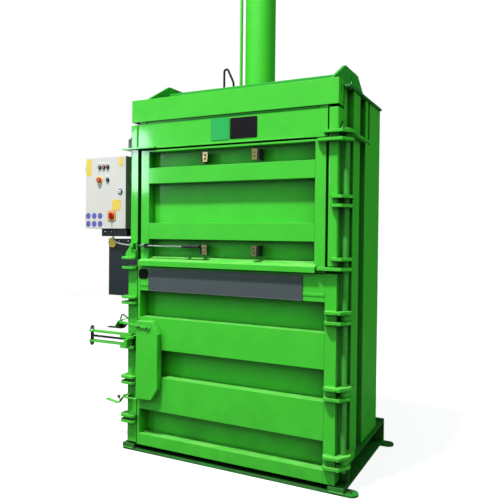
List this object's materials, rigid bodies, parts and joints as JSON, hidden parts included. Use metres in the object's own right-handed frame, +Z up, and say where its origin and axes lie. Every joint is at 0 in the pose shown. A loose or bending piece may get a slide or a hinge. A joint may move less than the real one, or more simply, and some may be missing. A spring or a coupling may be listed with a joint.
{
  "type": "vertical recycling baler",
  "caption": "Vertical recycling baler with an overhead press cylinder, a swinging feed door above a full-width bale door, and a side control box with power pack.",
  "frame": {"origin": "on the floor plane, midway between the side posts and midway between the door faces and the rear columns", "axes": "+Z up, +X to the machine's right-hand side as seen from the front, the doors face -Y"},
  "size_m": [2.1989, 1.107, 3.45],
  "materials": {
    "green_paint": "gloss",
    "dark_green_paint": "gloss",
    "grey_paint": "semi-gloss",
    "tank_paint": "satin",
    "cabinet_paint": "satin",
    "black_steel": "satin",
    "bare_steel": "machined",
    "chrome_rod": "polished",
    "zinc_yellow": "passivated",
    "zinc": "plated",
    "black_plastic": "moulded",
    "black_rubber": "matt",
    "grey_cable": "matt",
    "green_plastic": "gloss",
    "red_plastic": "gloss",
    "yellow_plastic": "gloss"
  },
  "bodies": {
    "frame": {"foot_bars": "green_paint", "base_frame": "green_paint", "chamber_floor": "bare_steel", "left_wall": "green_paint", "right_wall": "green_paint", "back_wall": "green_paint", "retaining_teeth": "bare_steel", "left_post": "green_paint", "right_post": "green_paint", "header_beam": "green_paint", "top_fascia": "green_paint", "roof_plate": "green_paint", "crosshead": "green_paint", "cylinder_barrel": "green_paint", "flange_bolts": "zinc", "cylinder_gland": "bare_steel", "oil_line": "green_paint", "cylinder_hose": "black_rubber", "hinge_bar": "green_paint", "hinge_brackets": "green_paint", "lock_post": "green_paint", "switch_bracket": "black_steel", "switch_body": "black_plastic", "switch_cable": "black_rubber", "box_shell": "cabinet_paint", "side_brackets": "green_paint", "cable_duct": "black_plastic", "tank_shell": "tank_paint", "power_unit": "tank_paint", "filler_cap": "yellow_plastic", "box_cable": "grey_cable"},
    "ram": {"piston_rod": "chrome_rod", "platen": "green_paint"},
    "ejector": {"ejector_plate": "bare_steel"},
    "bale_door": {"bale_door_frame": "green_paint", "bale_door_sheet": "green_paint", "bale_door_ears": "green_paint", "door_cover": "grey_paint", "cover_screws": "zinc", "lock_cover": "green_paint"},
    "feed_door": {"feed_door_frame": "green_paint", "feed_door_sheet": "green_paint", "feed_door_arms": "green_paint", "strap_brackets": "zinc_yellow", "strap_bars": "black_steel", "bolt_housing": "black_steel"},
    "feed_bolt": {"bolt_rod": "zinc"},
    "closing_handle": {"latch_hub": "green_paint", "handle_arms": "green_paint", "handle_grip": "black_plastic"},
    "safety_catch": {"safety_catch": "green_paint"},
    "control_door": {"box_door": "cabinet_paint", "button_bezels": "black_plastic"},
    "start_button": {"start_button": "green_plastic"},
    "stop_button": {"stop_button": "red_plastic"},
    "raise_button": {"raise_button": "black_plastic"},
    "lower_button": {"lower_button": "black_plastic"},
    "e_stop": {"e_stop": "red_plastic"},
    "main_switch": {"main_switch": "red_plastic"},
    "panel_lock": {"panel_lock": "zinc"}
  },
  "joints": [
    {"name": "ram_slide", "type": "slide", "parent": "frame", "child": "ram", "axis": [0, 0, 1], "range_m": [-0.95, 0]},
    {"name": "ejector_hinge", "type": "hinge", "parent": "frame", "child": "ejector", "pos_m": [0, -0.306, 0.2033], "axis": [1, 0, 0], "range_deg": [0, 60]},
    {"name": "bale_door_hinge", "type": "hinge", "parent": "frame", "child": "bale_door", "pos_m": [0.805, -0.375, 0.607], "axis": [0, 0, 1], "range_deg": [0, 120]},
    {"name": "feed_door_hinge", "type": "hinge", "parent": "frame", "child": "feed_door", "pos_m": [0.805, -0.375, 1.744], "axis": [0, 0, 1], "range_deg": [0, 110]},
    {"name": "feed_bolt_slide", "type": "slide", "parent": "feed_door", "child": "feed_bolt", "axis": [-1, 0, 0], "range_m": [0, 0.05]},
    {"name": "closing_handle_hinge", "type": "hinge", "parent": "frame", "child": "closing_handle", "pos_m": [-0.757, -0.455, 0.79], "axis": [0, 0, 1], "range_deg": [0, 92]},
    {"name": "safety_catch_hinge", "type": "hinge", "parent": "frame", "child": "safety_catch", "pos_m": [-0.79, -0.455, 0.398], "axis": [0, 1, 0], "range_deg": [0, 30]},
    {"name": "control_door_hinge", "type": "hinge", "parent": "frame", "child": "control_door", "pos_m": [-1.283, -0.341, 1.868], "axis": [0, 0, -1], "range_deg": [0, 110]},
    {"name": "start_button_press", "type": "slide", "parent": "control_door", "child": "start_button", "axis": [0, 1, 0], "range_m": [0, 0.003], "stiffness_N_per_m": 800},
    {"name": "stop_button_press", "type": "slide", "parent": "control_door", "child": "stop_button", "axis": [0, 1, 0], "range_m": [0, 0.003], "stiffness_N_per_m": 800},
    {"name": "raise_button_press", "type": "slide", "parent": "control_door", "child": "raise_button", "axis": [0, 1, 0], "range_m": [0, 0.003], "stiffness_N_per_m": 800},
    {"name": "lower_button_press", "type": "slide", "parent": "control_door", "child": "lower_button", "axis": [0, 1, 0], "range_m": [0, 0.003], "stiffness_N_per_m": 800},
    {"name": "e_stop_press", "type": "slide", "parent": "control_door", "child": "e_stop", "axis": [0, 1, 0], "range_m": [0, 0.004], "stiffness_N_per_m": 1200},
    {"name": "main_switch_turn", "type": "hinge", "parent": "control_door", "child": "main_switch", "pos_m": [-1.021, -0.3505, 1.695], "axis": [0, 1, 0], "range_deg": [0, 90]},
    {"name": "panel_lock_turn", "type": "hinge", "parent": "control_door", "child": "panel_lock", "pos_m": [-0.942, -0.3505, 1.873], "axis": [0, 1, 0], "range_deg": [0, 90]}
  ]
}
